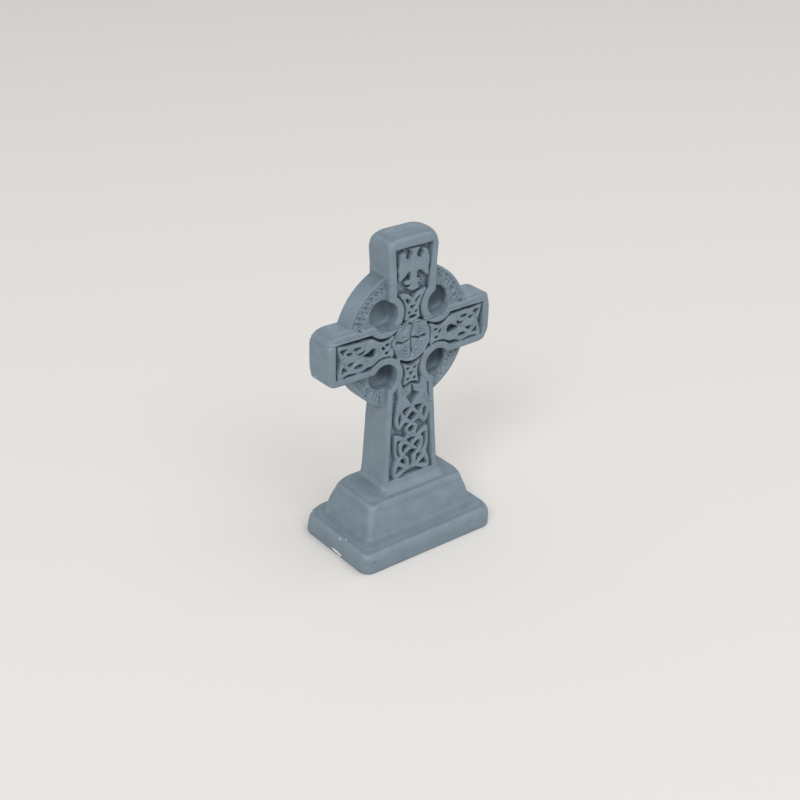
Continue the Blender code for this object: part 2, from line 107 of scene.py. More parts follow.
# Fillets where the ring, the arms, the pockets and the slab's nub meet the rest
RING_FILLET, ARM_FILLET, POCKET_LIP, NUB_FILLET = 0.22, 0.15, 0.14, 0.3
# How much higher the plinth's right end stands, and how far the shaft's foot leans back
RIGHT_RISE = 0.30
FOOT_LEAN = 0.2

# Carving
FLOOR = 0.95
WALL = 0.09
HOLE_EXTRA = 0.35
HOLE_GROW = 0.05
HEAD_PANEL_X, HEAD_PANEL_TOP = 4.05, 17.65
HEAD_PANEL_FOOT_X = 3.5
ARM_PANEL_END, ARM_PANEL_Z = 16.45, 3.2
SHAFT_FRAME = 1.05
SHAFT_FRAME_RIGHT = 1.22
SHAFT_PANEL_FOOT = 26.9
PLAIT_WAVES = 34.0
STRAND = 0.25

# Heights where the print's layers slipped, and how far out or in they stand
SHIFTED_LAYERS = ((43.70, 0.30), (43.94, -0.14), (44.20, 0.24))

# Flaws of the slab: place and radius, and how much the chip is drawn out in depth
CHIP = ((-15.3, -1.4, 0.02), 0.42)
CHIP_SHARE = 0.45
NUB = ((-13.3, 8.3, 4.0), 0.5)
PIT = ((-13.1, -10.5, 2.2), 0.35)

# White specks of dust, and the streak of painted glint by the chip: place, radius and strength
WHITE_SPECKS_AND_GLINT = (((-14.4, -3.2, 4.12), 0.26, 0.42), ((-14.8, -1.9, 3.7), 0.28, 0.42),
                ((-18.1, 0.8, 36.9), 0.18, 0.6), ((-18.05, -2.6, 36.3), 0.16, 0.6),
                # From here on: the streak by the chip, a painted glint
                ((-15.2, -0.2, 0.72), 0.30, 0.9), ((-15.2, -0.7, 0.69), 0.34, 1.0),
                ((-15.2, -1.2, 0.66), 0.36, 1.0), ((-15.2, -1.7, 0.62), 0.36, 1.0),
                ((-15.2, -2.2, 0.58), 0.34, 1.0), ((-15.2, -2.6, 0.55), 0.26, 0.9))

# Colours
RESIN_DARK, RESIN_LIGHT = (0.143, 0.193, 0.236, 1), (0.173, 0.229, 0.273, 1)
# Painted shade: the colour that narrow gaps, pockets and layer steps are darkened towards, and how far for
# the gaps and pockets and for the steps
RESIN_PAINTED_SHADE = (0.022, 0.043, 0.068, 1)
HOLLOW_SHADE, LINE_SHADE = 0.93, 0.13
# White of the dust specks and of the painted glint by the chip
DUST_AND_GLINT = (0.75, 0.76, 0.78, 1)
PAPER = (0.625, 0.612, 0.596, 1)
ROOM = (1.0, 0.985, 0.97, 1)

# Soft lights: name, azimuth, elevation, distance, size, power
LIGHTS = (("key", -55, 40, 1.2, 0.46, 6.4), ("fill", 0, 48, 1.2, 0.60, 3.1),
          ("overhead", 70, 68, 1.6, 1.0, 7.0))
ROOM_LIGHT = 0.64

# Where the photograph was taken from, in degrees and metres
VIEW_AZIMUTH, VIEW_RISE, VIEW_ROLL = -38.65, 27.72, 1.445
VIEW_TARGET, VIEW_DISTANCE = (0.00001, 0.0, 0.02722), 0.24469
LENS = 60.2


# Small tools

def smooth(t):
    """0 below 0, 1 above 1 and an S curve between."""
    t = np.clip(t, 0.0, 1.0)
    return t * t * (3.0 - 2.0 * t)


def soft_max(a, b, k):
    """The larger of two distances, with a fillet of about k where they meet."""
    h = np.maximum(k - np.abs(a - b), 0.0) / k
    return np.maximum(a, b) + h * h * k * 0.25


def soft_min(a, b, k):
    """The smaller of two distances, with a fillet of about k where they meet."""
    return -soft_max(-a, -b, k)


def lattice(ix, iy, iz, seed):
    """A repeatable random value from 0 to 1 for each whole-numbered point."""
    h = (ix * 374761393 + iy * 668265263 + iz * 2147483647 + seed * 974634777) & 0xFFFFFFFF
    h = ((h ^ (h >> 13)) * 1274126177) & 0xFFFFFFFF
    h = h ^ (h >> 16)
    return (h & 0xFFFF) / 65535.0


def noise(x, y, z, size, seed):
    """Smooth random hills from -1 to 1, about one per size."""
    x, y, z = np.broadcast_arrays(x / size, y / size, z / size)
    fx, fy, fz = np.floor(x), np.floor(y), np.floor(z)
    ix, iy, iz = fx.astype(np.int64), fy.astype(np.int64), fz.astype(np.int64)
    tx, ty, tz = smooth(x - fx), smooth(y - fy), smooth(z - fz)
    total = 0.0
    for dx in (0, 1):
        wx = tx if dx else 1 - tx
        for dy in (0, 1):
            wy = ty if dy else 1 - ty
            for dz in (0, 1):
                wz = tz if dz else 1 - tz
                total = total + wx * wy * wz * lattice(ix + dx, iy + dy, iz + dz, seed)
    return total * 2.0 - 1.0


# Outlines on the front

def polygon_distance(points, x, z):
    """Distance to a closed outline, negative inside."""
    nearest = np.full(x.shape, 1e9)
    inside = np.zeros(x.shape, bool)
    x1, z1 = points[-1]
    for x2, z2 in points:
        ex, ez = x2 - x1, z2 - z1
        px, pz = x - x1, z - z1
        t = np.clip((px * ex + pz * ez) / (ex * ex + ez * ez + 1e-12), 0, 1)
        nearest = np.minimum(nearest, (px - t * ex) ** 2 + (pz - t * ez) ** 2)
        crosses = (z1 > z) != (z2 > z)
        if z1 != z2:
            inside ^= crosses & (x < ex * (z - z1) / ez + x1)
        x1, z1 = x2, z2
    return np.where(inside, -1.0, 1.0) * np.sqrt(nearest)


def line_distance(points, x, z):
    """Distance to an open line."""
    nearest = np.full(x.shape, 1e9)
    for (x1, z1), (x2, z2) in zip(points, points[1:]):
        ex, ez = x2 - x1, z2 - z1
        px, pz = x - x1, z - z1
        t = np.clip((px * ex + pz * ez) / (ex * ex + ez * ez + 1e-12), 0, 1)
        nearest = np.minimum(nearest, (px - t * ex) ** 2 + (pz - t * ez) ** 2)
    return np.sqrt(nearest)


def curved(points, closed=True, steps=4):
    """A smooth line through the points."""
    made = []
    n = len(points)
    for i in range(n if closed else n - 1):
        if closed:
            a, b, c, d = (points[(i + k - 1) % n] for k in range(4))
        else:
            a, b, c, d = (points[min(max(i + k - 1, 0), n - 1)] for k in range(4))
        for s in range(steps):
            t = s / steps
            made.append(tuple(
                0.5 * (2 * b[k] + (c[k] - a[k]) * t + (2 * a[k] - 5 * b[k] + 4 * c[k] - d[k]) * t * t
                       + (3 * b[k] - a[k] - 3 * c[k] + d[k]) * t * t * t) for k in (0, 1)))
    return made if closed else made + [points[-1]]


def mirrored(half):
    """A closed outline from its right half."""
    return half + [(-x, z) for x, z in reversed(half) if abs(x) > 1e-6]


def both(*shapes):
    """Each shape and its mirror image across the middle."""
    return list(shapes) + [[(-x, z) for x, z in shape] for shape in shapes]


def limb_half_width(distance, full):
    """Half width of a sunken panel: full, and waisted round the pockets near the centre."""
    reach = POCKET_RADIUS + POCKET_FRAME
    gap = distance - POCKET_OFFSET
    if abs(gap) >= reach:
        return full
    return min(full, POCKET_OFFSET - math.sqrt(reach * reach - gap * gap))


def shaft_half_width(distance):
    """Half width of the shaft, so far below the centre."""
    start = 9.94
    share = max(0.0, (distance - start) / (CENTRE - SHAFT_FOOT - start))
    return NECK_X + (FOOT_X - NECK_X) * share


def panel_outline(direction):
    """Outline of the sunken field on one limb, as distances out from the centre."""
    start = 3.3
    if direction == "head":
        end = HEAD_PANEL_TOP
        taper = (HEAD_PANEL_X - HEAD_PANEL_FOOT_X) / 6.0
        full = lambda d: HEAD_PANEL_X - taper * max(0.0, min(6.0, end - d))
    elif direction == "shaft":
        end, full = SHAFT_PANEL_FOOT, lambda d: shaft_half_width(d) - SHAFT_FRAME
    else:
        end, full = ARM_PANEL_END, lambda d: ARM_PANEL_Z
    stations = [start + (10.0 - start) * i / 24 for i in range(25)] + [end]
    return mirrored([(limb_half_width(d, full(d)), d) for d in stations])


def shaft_panel():
    """The shaft's field, whose right band is the wider one."""
    spare = SHAFT_FRAME_RIGHT - SHAFT_FRAME
    outline = []
    for x, d in panel_outline("shaft"):
        narrow = spare * float(smooth((d - 7.0) / 3.0)) if x > 0 else 0.0
        outline.append((x - narrow, -d))
    return outline


def settled(points):
    """The long knot's points, moved to where its uneven print has them."""
    moved = []
    for x, z in points:
        shift = 0.30 * float(smooth((z + CENTRE - 21.5) / 5.5)) * float(smooth((32.2 - z - CENTRE) / 2.0))
        moved.append((x * (1.06 if x > 0 else 1.0) + shift, z))
    return moved


def raised(points):
    """Points given with their height from the ground, as heights from the cross's centre."""
    return [(x, z - CENTRE) for x, z in points]


def bird():
    """The displayed bird in the head's field, seen from the front with its wings spread."""
    left_side = [(-0.25, 49.97), (-0.85, 50.2), (-1.35, 50.65), (-1.1, 50.95), (-0.7, 51.25),
                 (-1.5, 51.2), (-2.05, 51.6), (-1.75, 52.15), (-0.85, 52.3), (-0.75, 52.9),
                 (-0.85, 53.45), (-1.15, 53.6), (-1.9, 52.95), (-2.4, 52.6), (-2.95, 52.15),
                 (-3.3, 52.5), (-3.25, 53.4), (-3.45, 54.2), (-3.25, 55.2), (-3.2, 56.4),
                 (-2.95, 57.15), (-2.4, 57.5), (-1.95, 57.3), (-1.85, 56.9), (-1.8, 56.35),
                 (-1.3, 56.0), (-0.8, 56.15), (-0.52, 56.6), (-0.55, 57.15), (-1.15, 57.75),
                 (-1.0, 57.95)]
    right_side = [(1.25, 57.85), (1.3, 57.6), (0.85, 57.3), (0.62, 56.8), (0.8, 56.2),
                  (1.35, 55.9), (1.85, 56.2), (1.95, 56.8), (1.9, 57.3), (2.3, 57.5),
                  (2.9, 57.1), (3.2, 56.6), (3.4, 55.9), (3.5, 55.0), (3.25, 54.0), (3.3, 53.0),
                  (3.4, 52.5), (3.05, 52.1), (2.6, 52.55), (1.9, 53.15), (1.35, 53.5),
                  (0.85, 53.4), (0.7, 52.9), (0.85, 52.25), (1.85, 52.05), (1.95, 51.85),
                  (1.3, 51.75), (1.9, 51.5), (1.8, 51.3), (0.95, 51.3), (1.0, 50.95),
                  (1.35, 50.45), (0.8, 50.08)]
    return curved(raised(left_side + right_side), steps=3)


def shaft_plate():
    """Outline of the long knot and its holes, from the ground up."""
    half = [(0, 14.5), (1.25, 14.35), (2.2, 13.85), (3.1, 13.5), (3.9, 13.55), (4.2, 14.2),
            (4.1, 15.4), (3.8, 16.4), (3.5, 17.1), (3.7, 17.9), (3.9, 18.9), (3.95, 20.2),
            (3.9, 21.3), (3.8, 22.2), (3.4, 22.55), (2.6, 22.2), (1.95, 21.75), (1.4, 21.5),
            (1.05, 21.75), (1.35, 22.4), (1.42, 23.1), (1.1, 23.65), (0.62, 23.92),
            (0.95, 24.1), (1.4, 24.25), (1.9, 24.0), (2.35, 23.45), (2.8, 23.15), (3.4, 23.6),
            (3.75, 24.4), (3.92, 25.3), (3.85, 26.6), (3.65, 27.9), (3.35, 29.0), (3.25, 30.0),
            (3.35, 30.8), (3.2, 31.6), (2.75, 32.3), (2.25, 32.9), (2.0, 32.2), (1.8, 31.45),
            (1.2, 31.6), (0.6, 31.78), (0, 31.85)]
    pairs = both(
        [(0.6, 27.1), (1.3, 27.18), (2.05, 27.0), (1.95, 26.5), (1.55, 25.95), (1.2, 26.3)],
        [(2.8, 26.35), (3.05, 25.6), (3.0, 25.0), (2.75, 24.4), (2.45, 25.1), (2.55, 25.8)],
        [(2.4, 20.8), (2.85, 21.05), (3.2, 20.9), (3.22, 20.0), (3.22, 19.2), (3.0, 18.3),
         (2.55, 17.7), (2.75, 18.4), (2.98, 19.2), (2.95, 20.0), (2.8, 20.4)],
        [(0.72, 19.3), (1.15, 19.68), (1.55, 19.85), (1.92, 19.6), (1.95, 19.1), (1.72, 18.5),
         (1.45, 18.6), (1.1, 18.95)],
        [(1.25, 15.85), (1.28, 16.5), (1.6, 17.0), (2.1, 16.9), (2.28, 16.62), (1.8, 16.3)],
        [(2.0, 15.05), (2.5, 15.4), (2.92, 15.7), (3.15, 15.25), (3.48, 14.6), (3.0, 14.75),
         (2.5, 14.95)])
    middle = [
        mirrored([(0, 27.85), (0.5, 28.45), (1.0, 29.15), (1.3, 29.6), (0.75, 29.85),
                  (0.32, 30.1), (0.15, 30.6), (0.1, 31.4)]),
        mirrored([(0, 24.55), (0.45, 24.9), (0.95, 25.25), (0.5, 25.75), (0, 26.1)]),
        mirrored([(0, 22.4), (0.45, 22.55), (0.6, 22.9), (0.42, 23.2), (0, 23.25)]),
        mirrored([(0, 19.9), (0.45, 20.35), (0.88, 20.7), (0.4, 20.88), (0, 20.8)]),
        mirrored([(0, 15.38), (0.28, 15.5), (0.27, 16.4), (0.38, 17.0), (0.75, 17.5),
                  (1.2, 17.88), (0.6, 18.32), (0, 18.4)])]
    outline, holes = mirrored(half), pairs + middle
    return curved(settled(raised(outline)), steps=2), [curved(settled(raised(h)), steps=2) for h in holes]


def shaft_crossings():
    """Places on the long knot where one strand lies over another: x, height, direction."""
    crossings = [(0, 21.42, -48), (0, 19.25, -45), (0, 23.9, 44), (0, 27.3, -50), (0, 14.95, 8)]
    for side in (-1, 1):
        crossings += [(side * 1.5, 21.0, 42 * side), (side * 2.35, 17.35, -52 * side),
                      (side * 1.55, 15.25, 40 * side), (side * 1.65, 24.9, -40 * side),
                      (side * 2.15, 26.35, 62 * side), (side * 1.9, 30.4, 55 * side),
                      (side * 1.3, 17.5, 50 * side)]
    placed = []
    for x, z, angle in crossings:
        (moved_x, moved_z), = settled(raised([(x, z)]))
        placed.append((moved_x, moved_z, math.radians(angle)))
    return placed


def arm_plate():
    """Outline of the right arm's knot and its holes: distance out from the centre, height."""
    top = [(3.9, 2.0), (5.0, 1.68), (6.0, 1.38), (6.8, 1.45), (7.8, 2.0), (8.6, 2.5), (9.5, 2.68),
           (11.0, 2.72), (12.3, 2.85), (13.4, 2.72), (14.5, 2.88), (15.6, 3.1), (16.1, 3.12)]
    end = [(16.12, 2.4), (15.75, 1.0), (15.42, 0.0), (15.72, -1.0), (16.05, -2.2), (16.05, -3.2)]
    foot = [(15.2, -3.2), (14.3, -2.98), (13.4, -2.95), (12.6, -3.05), (11.6, -3.22),
            (10.6, -3.0), (9.8, -2.7), (9.0, -2.7), (8.1, -2.35), (7.2, -1.92), (6.0, -1.8),
            (5.0, -1.88), (4.1, -1.98)]
    holes = [
        [(14.2, 1.95), (14.8, 2.05), (15.45, 2.0), (15.1, 1.65), (14.9, 1.3), (14.6, 1.6)],
        [(14.1, -2.1), (14.5, -1.75), (14.85, -1.35), (15.05, -1.7), (15.12, -2.2), (14.6, -1.98)],
        [(13.05, 0.95), (13.5, 1.1), (14.05, 1.02), (13.6, 0.8)],
        [(12.75, -0.95), (13.2, -0.88), (13.85, -1.02), (13.35, -1.3)],
        [(11.2, 1.55), (12.0, 1.68), (12.65, 1.55), (12.0, 1.38)],
        [(10.9, -1.95), (11.4, -1.68), (12.0, -1.78), (12.5, -1.95), (11.7, -2.1)],
        [(8.05, 0.0), (8.2, 0.45), (8.7, 0.6), (9.2, 0.45), (9.9, 0.05), (10.5, -0.15),
         (10.0, -0.4), (9.3, -0.6), (8.6, -0.72), (8.15, -0.45)],
        [(10.45, 0.85), (10.8, 0.55), (11.6, 0.4), (11.0, 0.28), (10.6, 0.4)],
        [(6.0, -0.02), (6.3, 0.22), (6.6, 0.3), (6.55, 0.05), (6.25, -0.12)],
        [(5.2, -0.95), (5.6, -0.82), (5.95, -0.95), (5.55, -1.08)],
        [(5.1, 0.62), (5.5, 0.7), (5.8, 0.6), (5.4, 0.52)]]
    outline = curved(top + end + foot, steps=2)
    return outline, [curved(h, steps=2) for h in holes]


def arm_lines():
    """Shallow seams between the strands on the right arm's knot."""
    return [[(10.3, -0.1), (10.9, -0.25), (11.6, -0.5)], [(10.4, -0.75), (10.1, -1.3), (9.6, -1.8)],
            [(9.7, 2.2), (9.2, 2.55)], [(13.9, 1.6), (14.5, 0.7), (15.2, 0.2)],
            [(13.9, -1.7), (14.5, -0.8), (15.2, -0.2)], [(11.8, 0.3), (12.5, 0.9), (13.0, 1.5)],
            [(11.8, -0.3), (12.4, -0.8), (12.9, -1.5)], [(7.0, -1.0), (7.4, 0.0), (7.0, 0.9)],
            [(10.6, 1.2), (10.1, 1.9)], [(4.7, 0.9), (4.9, 0.0), (4.7, -0.8)]]


def upper_neck_plate():
    """The horned knot between the bird and the boss, and its holes."""
    half = [(0, 44.35), (1.3, 44.4), (1.75, 44.7), (1.55, 45.6), (1.5, 46.6), (1.75, 47.4),
            (2.1, 48.3), (2.6, 49.0), (2.95, 49.9), (2.3, 49.95), (1.6, 49.85), (1.0, 49.55),
            (0.5, 49.05), (0, 48.7)]
    holes = both([(0.62, 47.9), (0.95, 48.3), (1.5, 48.55), (1.25, 48.15), (0.85, 47.75)],
                 [(0.55, 45.85), (0.75, 46.0), (0.95, 45.9), (0.75, 45.75)])
    holes += [mirrored([(0, 46.6), (0.3, 46.85), (0.45, 47.05), (0, 47.0)]),
              mirrored([(0, 44.85), (0.5, 44.9), (0.8, 45.0), (0.4, 45.15), (0, 45.18)])]
    return curved(raised(mirrored(half)), steps=2), [curved(raised(h), steps=2) for h in holes]


def lower_neck_plate():
    """The small knot under the boss, and its holes."""
    half = [(0, 32.25), (0.7, 32.15), (1.4, 31.85), (1.7, 31.95), (1.62, 32.7), (1.42, 33.6),
            (1.38, 34.4), (1.6, 35.2), (2.0, 36.1), (1.9, 36.6), (1.0, 36.2), (0, 35.7)]
    holes = both([(0.5, 35.0), (0.75, 35.2), (1.05, 35.2), (0.8, 34.95)],
                 [(0.5, 32.95), (0.75, 33.1), (1.0, 33.0), (0.75, 32.8)])
    holes += [mirrored([(0, 33.65), (0.2, 33.9), (0.38, 34.1), (0, 34.15)])]
    return curved(raised(mirrored(half)), steps=2), [curved(raised(h), steps=2) for h in holes]


class Relief:
    """Depth of the carving below the plain front, on a grid across and up."""

    def __init__(self, xs, zs):
        self.xs, self.zs = xs, zs
        self.x, self.z = np.meshgrid(xs, zs - CENTRE, indexing="ij")
        sway = noise(self.x, 0.0, self.z, 2.3, 11) * 0.07
        lift = noise(self.x, 5.0, self.z, 2.3, 12) * 0.07 - self.x * 0.006
        teeth = 0.035 * np.sin(self.z * (2 * math.pi / 0.38)) * (self.z < -8.0)
        self.x, self.z = self.x + sway + teeth, self.z + lift
        self.depth = np.zeros(self.x.shape)

    def window(self, points, reach=0.7):
        """The part of the grid round some points."""
        x = [p[0] for p in points]
        z = [p[1] + CENTRE for p in points]
        i = np.searchsorted(self.xs, (min(x) - reach, max(x) + reach))
        k = np.searchsorted(self.zs, (min(z) - reach, max(z) + reach))
        return slice(i[0], i[1]), slice(k[0], k[1])

    def sink(self, outline, ease=0.10, ease_width=0.4):
        """A sunken field with the band round it eased towards its edge."""
        part = self.window(outline)
        away = polygon_distance(outline, self.x[part], self.z[part])
        eased_band = ease * np.clip(1 - away / ease_width, 0, 1) ** 2
        depth = np.where(away > 0, eased_band, ease)
        self.depth[part] = depth + (FLOOR - depth) * smooth(0.5 - away / WALL)

    def lay(self, outline, holes, top=0.03, fall=0.20, round_to=0.36):
        """A raised figure: flat at the top, rounded towards its outline and its deeper holes."""
        part = self.window(outline)
        x, z = self.x[part], self.z[part]
        away = polygon_distance(outline, x, z)
        for hole in holes:
            inside = HOLE_GROW - polygon_distance(hole, x, z)
            self.depth[part] += HOLE_EXTRA * smooth(0.5 + inside / 0.3)
            away = np.maximum(away, inside)
        height = top + fall * np.clip(1 + away / round_to, 0, 1) ** 2
        share = smooth(0.5 - away / WALL)
        self.depth[part] += (height - self.depth[part]) * share

    def score(self, points, depth, width, closed=False):
        """A shallow line in whatever is there."""
        part = self.window(points)
        line = curved(points, closed, 3)
        away = line_distance(line + line[:1] if closed else line, self.x[part], self.z[part])
        self.depth[part] += depth * np.exp(-(away / width) ** 2)

    def cross_over(self, x, z, angle, width=0.66, length=0.8, depth=0.20):
        """The two seams beside a strand that lies over another."""
        for side in (-1, 1):
            ends = []
            for along in (-1, 1):
                ends.append((x + along * length / 2 * math.cos(angle) - side * width / 2 * math.sin(angle),
                             z + along * length / 2 * math.sin(angle) + side * width / 2 * math.cos(angle)))
            self.score(ends, depth, 0.10)


def ring_depth(x, z):
    """The sunken band of the ring, with two uneven strands that wind round each other."""
    z = z - RING_LIFT
    r = np.hypot(x, z)
    turn = np.arctan2(z, x)
    inner = RING_INNER + 1.35
    outer = RING_OUTER - RING_RIM
    middle = (inner + outer) / 2 + 0.10 * noise(x, 0.0, z, 1.4, 34)
    swing = (outer - inner) / 2 - 0.28
    phase = turn * PLAIT_WAVES + 2.2 * noise(x, 0.0, z, 1.9, 31)
    wave = np.sin(phase)
    steep = np.sqrt(1 + (np.cos(phase) * swing * PLAIT_WAVES / middle) ** 2)
    near = [np.abs(r - middle - side * swing * wave) / steep for side in (-1, 1)]
    first_over = np.cos(phase) < 0
    top = np.where(first_over, near[0], near[1])
    under = np.where(first_over, near[1], near[0])
    half = STRAND + 0.06 * noise(x, 0.0, z, 0.9, 32)
    pattern = 0.10 + 0.30 * smooth((under - half) / 0.14)
    beside = smooth((top - half) / 0.14)
    seam = 0.14 * np.exp(-((top - half - 0.12) / 0.10) ** 2)
    pattern = (0.02 + 0.10 * np.clip(top / half, 0, 1) ** 2) * (1 - beside) + (pattern + seam) * beside
    band = smooth((r - inner) / 0.12) * smooth((outer - r) / 0.12)
    beyond = np.hypot(np.abs(x) - POCKET_OFFSET, np.abs(z + RING_LIFT) - POCKET_OFFSET) - POCKET_RADIUS
    band = band * smooth((beyond - 0.15) / 0.2)
    lumps = 0.08 * noise(x, 0.0, z, 0.5, 33) + 0.06 * noise(x, 0.0, z, 0.9, 35)
    return RING_SINK * 0.35 * smooth((outer + 0.1 - r) / 0.15) + (pattern + lumps) * band


def oval(x, z, long, wide, lean):
    """A closed oval line, leaning by so many degrees."""
    turn = math.radians(lean)
    ring = []
    for i in range(16):
        u, w = long * math.cos(i * math.pi / 8), wide * math.sin(i * math.pi / 8)
        ring.append((x + u * math.cos(turn) - w * math.sin(turn),
                     z + u * math.sin(turn) + w * math.cos(turn)))
    return ring


def boss_marks(relief):
    """Crossed grooves, a rim, a leaf and three eyes on the boss, and the gaps round it."""
    relief.score(oval(0, 0, 3.5, 3.5, 0), 0.14, 0.15, closed=True)
    relief.score(oval(0, 0, 4.15, 4.15, 0), 0.16, 0.13, closed=True)
    grooves = [
        ([(-0.1, 3.1), (0.0, 2.5), (-0.15, 1.8), (-0.3, 1.1), (-0.35, 0.5)], 0.38, 0.20),
        ([(-0.3, 0.1), (-0.28, -0.9), (-0.2, -1.4), (-0.05, -2.2)], 0.36, 0.18),
        ([(-0.05, -2.0), (-0.15, -2.6), (-0.45, -3.1)], 0.34, 0.18),
        ([(-3.5, 0.3), (-3.1, 0.35), (-2.6, 0.15), (-2.1, 0.1), (-1.6, 0.15), (-1.1, 0.25), (-0.7, 0.45)],
         0.52, 0.11),
        ([(-3.45, 0.3), (-3.2, 0.3)], 0.35, 0.2),
        ([(-0.1, 0.5), (0.5, 0.5), (0.9, 0.3), (1.5, 0.1), (2.1, 0.2), (2.8, 0.25)], 0.38, 0.14),
        ([(2.75, 0.25), (2.95, 0.25)], 0.45, 0.17),
        ([(-1.8, -3.95), (-1.0, -4.3), (-0.2, -4.65), (0.7, -4.3), (1.7, -3.9), (2.4, -3.5)], 0.55, 0.14),
        ([(-0.9, 3.45), (-0.5, 3.3), (-0.15, 3.15)], 0.34, 0.12),
        ([(-4.3, 1.0), (-4.55, 0.3), (-4.35, -0.4)], 0.40, 0.15),
        ([(4.1, 1.2), (4.15, 0.4), (4.05, -0.6)], 0.26, 0.16),
        ([(1.1, -1.35), (1.25, -1.2)], 0.22, 0.15)]
    for points, depth, width in grooves:
        relief.score(points, 1.5 * depth, 1.1 * width)
    leaf = [(-0.75, 2.8), (-0.6, 2.1), (-0.7, 1.3), (-1.05, 0.75), (-1.8, 0.6), (-2.85, 0.65), (-3.0, 1.05),
            (-2.85, 1.85), (-2.3, 2.5), (-1.45, 3.0)]
    relief.score(leaf, 0.24, 0.13, closed=True)
    relief.score([(-1.5, 2.6), (-2.1, 2.2), (-2.35, 1.6), (-2.2, 1.05), (-1.5, 0.95)], 0.26, 0.13)
    relief.score([(-1.5, 1.6), (-1.45, 2.1)], -0.06, 0.25)
    for x, z, long, wide, lean, depth in (
            (1.55, 1.45, 0.66, 0.32, -50, 0.20), (1.55, 1.45, 1.25, 0.72, -50, 0.14),
            (1.6, 1.4, 1.85, 1.15, -50, 0.08), (-1.5, -1.35, 0.62, 0.36, -28, 0.20),
            (-1.6, -1.45, 1.25, 0.78, -42, 0.16), (-1.7, -1.5, 1.8, 1.2, -42, 0.08),
            (1.3, -1.5, 1.0, 0.62, 42, 0.15), (1.4, -1.6, 1.6, 1.05, 42, 0.10)):
        relief.score(oval(x, z, long, wide, lean), 1.6 * depth, 0.12, closed=True)


def print_flaws(relief):
    """A looped thread and a blob of resin near the top of the long knot."""
    thread = raised([(2.8, 29.8), (3.1, 28.6), (3.5, 28.0), (3.9, 27.65), (4.5, 27.45), (4.9, 27.7)])
    relief.score(thread, -0.30, 0.13)
    relief.score([(x - 0.15, z - 0.15) for x, z in thread], 0.06, 0.10)
    relief.score(raised([(-3.7, 29.85), (-3.5, 29.75)]), -0.30, 0.20)
    relief.score(raised([(-4.0, 29.45), (-3.2, 29.5)]), 0.30, 0.09)
    relief.score(raised([(-3.9, 29.05), (-3.3, 29.1)]), -0.16, 0.10)


def front_relief(xs, zs):
    """All the carving of the front, laid down in order."""
    relief = Relief(xs, zs)
    r = np.hypot(relief.x, relief.z)
    on_ring = (r < RING_OUTER + 0.3) & (np.abs(relief.z) > ARM_Z - 0.2) & (np.abs(relief.x) > NECK_X - 0.1)
    relief.depth = np.where(on_ring, ring_depth(relief.x, relief.z), 0.0)
    head = panel_outline("head")
    shaft = shaft_panel()
    arm = [(d, x) for x, d in panel_outline("arm")]
    for outline in (head, shaft, arm, [(-x, z) for x, z in arm]):
        relief.sink(outline)
    relief.lay(bird(), [], top=0.02, fall=0.14, round_to=0.35)
    relief.lay(*upper_neck_plate())
    relief.lay(*shaft_plate())
    relief.lay(*lower_neck_plate())
    outline, holes = arm_plate()
    for side in (-1, 1):
        relief.lay([(side * u, w) for u, w in outline], [[(side * u, w) for u, w in h] for h in holes])
        for line in arm_lines():
            relief.score([(side * u, w) for u, w in line], 0.22, 0.11)
    for x, z, angle in shaft_crossings():
        relief.cross_over(x, z, angle)
    disc = smooth(0.5 - (np.hypot(relief.x, relief.z) - BOSS) / 0.2)
    relief.depth += (0.02 - relief.depth) * disc
    boss_marks(relief)
    print_flaws(relief)
    return relief.depth


def back_relief(xs, zs):
    """Plain sunken fields and a plain boss."""
    relief = Relief(xs, zs)
    arm = [(d, x) for x, d in panel_outline("arm")]
    shaft = [(x, -d) for x, d in panel_outline("shaft")]
    for outline in (panel_outline("head"), shaft, arm, [(-x, z) for x, z in arm]):
        relief.sink(outline)
    r = np.hypot(relief.x, relief.z)
    relief.depth += (-0.12 - relief.depth) * smooth(0.5 - (r - BOSS) / 0.2)
    relief.depth += 0.14 * np.exp(-((r - 3.3) / 0.15) ** 2)
    return relief.depth


# The solid form

def eased(height, half_x, half_y, edge, drop, steps=6):
    """Heights and half sizes that round a top edge over, edge wide and drop high."""
    made = []
    for i in range(steps + 1):
        a = math.pi / 2 * i / steps
        inset = edge * (1 - math.cos(a))
        made.append((height - drop * (1 - math.sin(a)), half_x - inset, half_y - inset))
    return made


def column_profile():
    """Height, half width, half depth and corner radius, from the ground to the crown."""
    drawn_in = 0.15
    rows = [(height, SLAB_X - drawn_in, SLAB_Y - drawn_in, SLAB_CORNER) for height in (-1.0, 0.0)]
    rows += [(0.4, SLAB_X, SLAB_Y, SLAB_CORNER)]
    rows += [row + (SLAB_CORNER,) for row in eased(SLAB_TOP, SLAB_X, SLAB_Y, *SLAB_EASE)]
    top_x, top_y = TIER_X - BATTER, TIER_Y - BATTER
    rise, out_x, out_y, corner = SLAB_FILLET
    rows += [(SLAB_TOP + rise, out_x, out_y, corner), (TIER_FOOT, TIER_X, TIER_Y, 0.8),
             (TIER_BEND, top_x + 0.5, top_y + 0.5, 1.0)]
    eased_top = eased(TIER_TOP - TIER_DIP, top_x, top_y, *TIER_EASE)
    rows += [row + (1.2 + 0.28 * i,) for i, row in enumerate(eased_top)]
    for rise, out_x, out_y, corner in FOOT_FILLET:
        rows.append((SHAFT_FOOT + rise, FOOT_X + out_x, FOOT_Y + out_y, corner))
    rows += [(SHAFT_FOOT + 1.7, FOOT_X - 0.08, FOOT_Y - 0.03, UPRIGHT_EDGE),
             (SHAFT_NARROWEST, NECK_X, NECK_Y, UPRIGHT_EDGE), (CENTRE, NECK_X, FRONT, UPRIGHT_EDGE),
             (CENTRE + RING_OUTER, NECK_X, FRONT, UPRIGHT_EDGE), (HEAD_FULL, HEAD_X, FRONT, UPRIGHT_EDGE)]
    for height, inset_x, inset_y, corner in CROWN_ROWS:
        rows.append((height, HEAD_X - inset_x, FRONT - inset_y, corner))
    return np.array(rows).T


